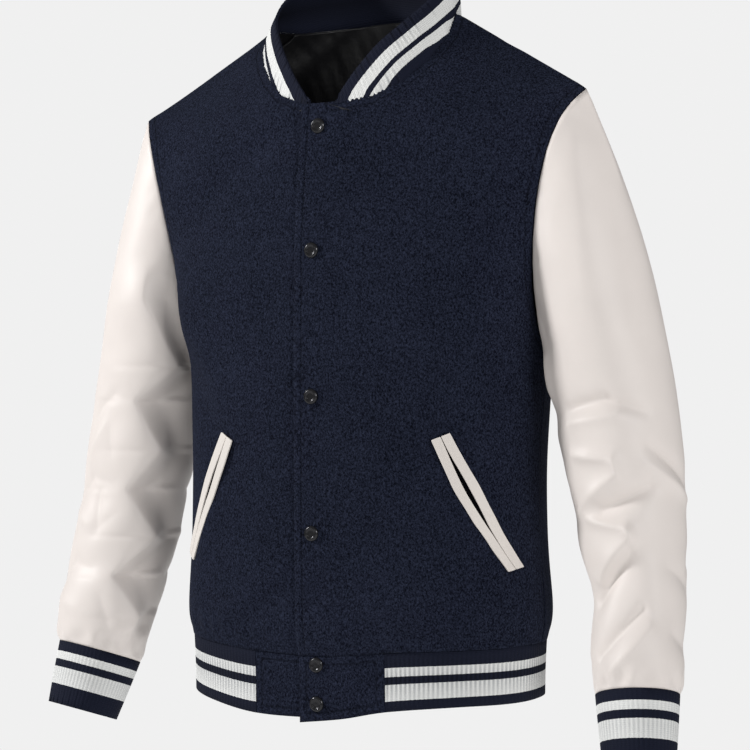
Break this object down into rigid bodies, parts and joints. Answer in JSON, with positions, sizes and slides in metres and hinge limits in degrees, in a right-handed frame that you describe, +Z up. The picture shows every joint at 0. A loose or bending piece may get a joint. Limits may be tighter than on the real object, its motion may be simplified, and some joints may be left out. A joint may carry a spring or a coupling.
{
  "type": "varsity_jacket",
  "caption": "Varsity jacket with navy wool body, cream smooth sleeves, striped knit collar, cuffs and waistband, slant pockets and a snap front, filled out as worn with no wearer",
  "frame": {"origin": "midway between the two points where the shoulder seams meet the neck seam, where a wearer's neck or a hanger holds the jacket", "axes": "+X toward the wearer's left, -Y out of the front, +Z up"},
  "size_m": [0.712, 0.2416, 0.8054],
  "materials": {
    "wool": "matt napped navy wool",
    "sleeve_leather": "smooth cream, soft sheen",
    "rib_knit": "navy rib knit with white stripes",
    "welt_leather": "smooth cream strip",
    "lining": "black woven lining, soft sheen",
    "snap_cap": "black enamelled cap, semi-gloss"
  },
  "bodies": {
    "root": {"front_left": "wool", "front_right": "wool", "body_back": "wool", "sleeve_left": "sleeve_leather", "sleeve_right": "sleeve_leather", "back_lining": "lining", "cuff_left": "rib_knit", "cuff_right": "rib_knit", "waistband_rib": "rib_knit", "collar": "rib_knit", "waistband_patch_left": "wool", "waistband_patch_right": "wool", "welt_left_front": "welt_leather", "welt_left_side": "welt_leather", "welt_right_front": "welt_leather", "welt_right_side": "welt_leather", "snap_1": "snap_cap", "snap_2": "snap_cap", "snap_3": "snap_cap", "snap_4": "snap_cap", "snap_5": "snap_cap", "snap_6": "snap_cap"}
  },
  "joints": []
}
